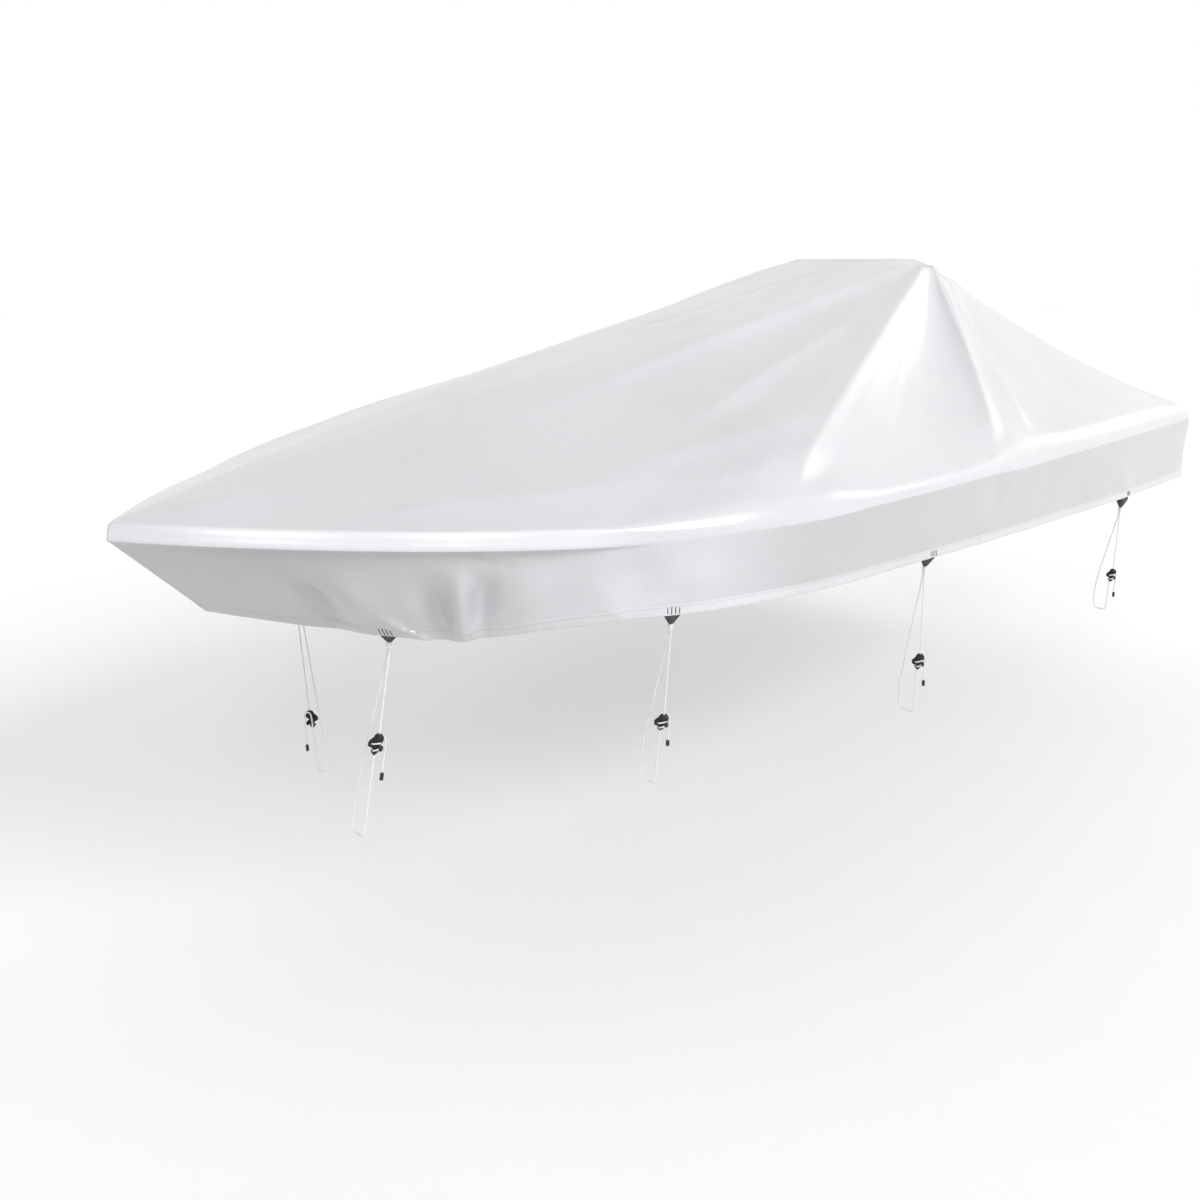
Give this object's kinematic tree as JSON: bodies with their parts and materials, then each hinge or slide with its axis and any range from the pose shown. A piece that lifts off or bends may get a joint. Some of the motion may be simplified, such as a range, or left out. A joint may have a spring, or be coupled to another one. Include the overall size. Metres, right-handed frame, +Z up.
{
  "type": "fitted boat cover",
  "caption": "Fitted boat cover: one coated cloth drawn tight from a raised flat peak to a pointed bow and square stern, with a hanging hemmed skirt and rope ties.",
  "frame": {"origin": "middle of the underside of the cover's flat peak, where the thing covered holds it up", "axes": "+Z up, +Y from the bow to the stern, +X to port"},
  "size_m": [1.954, 4.59, 1.5753],
  "materials": {
    "cover_cloth": "satin coated polyester, pale grey",
    "webbing": "black woven webbing",
    "rope": "white braided rope",
    "moulded_plastic": "black moulded plastic"
  },
  "bodies": {
    "root": {"cover": "cover_cloth", "tab_port_1": "webbing", "knot_port_1": "rope", "rope_loop_port_1": "rope", "rope_short_port_1": "rope", "cleat_port_1": "moulded_plastic", "end_cap_port_1": "moulded_plastic", "tab_port_2": "webbing", "knot_port_2": "rope", "rope_loop_port_2": "rope", "rope_short_port_2": "rope", "cleat_port_2": "moulded_plastic", "end_cap_port_2": "moulded_plastic", "tab_port_3": "webbing", "knot_port_3": "rope", "rope_loop_port_3": "rope", "rope_short_port_3": "rope", "cleat_port_3": "moulded_plastic", "end_cap_port_3": "moulded_plastic", "tab_port_4": "webbing", "knot_port_4": "rope", "rope_loop_port_4": "rope", "rope_short_port_4": "rope", "cleat_port_4": "moulded_plastic", "end_cap_port_4": "moulded_plastic", "tab_starboard_2": "webbing", "knot_starboard_2": "rope", "rope_loop_starboard_2": "rope", "rope_short_starboard_2": "rope", "cleat_starboard_2": "moulded_plastic", "end_cap_starboard_2": "moulded_plastic", "tab_starboard_3": "webbing", "knot_starboard_3": "rope", "rope_loop_starboard_3": "rope", "rope_short_starboard_3": "rope", "cleat_starboard_3": "moulded_plastic", "end_cap_starboard_3": "moulded_plastic", "tab_starboard_4": "webbing", "knot_starboard_4": "rope", "rope_loop_starboard_4": "rope", "rope_short_starboard_4": "rope", "cleat_starboard_4": "moulded_plastic", "end_cap_starboard_4": "moulded_plastic"}
  },
  "joints": []
}
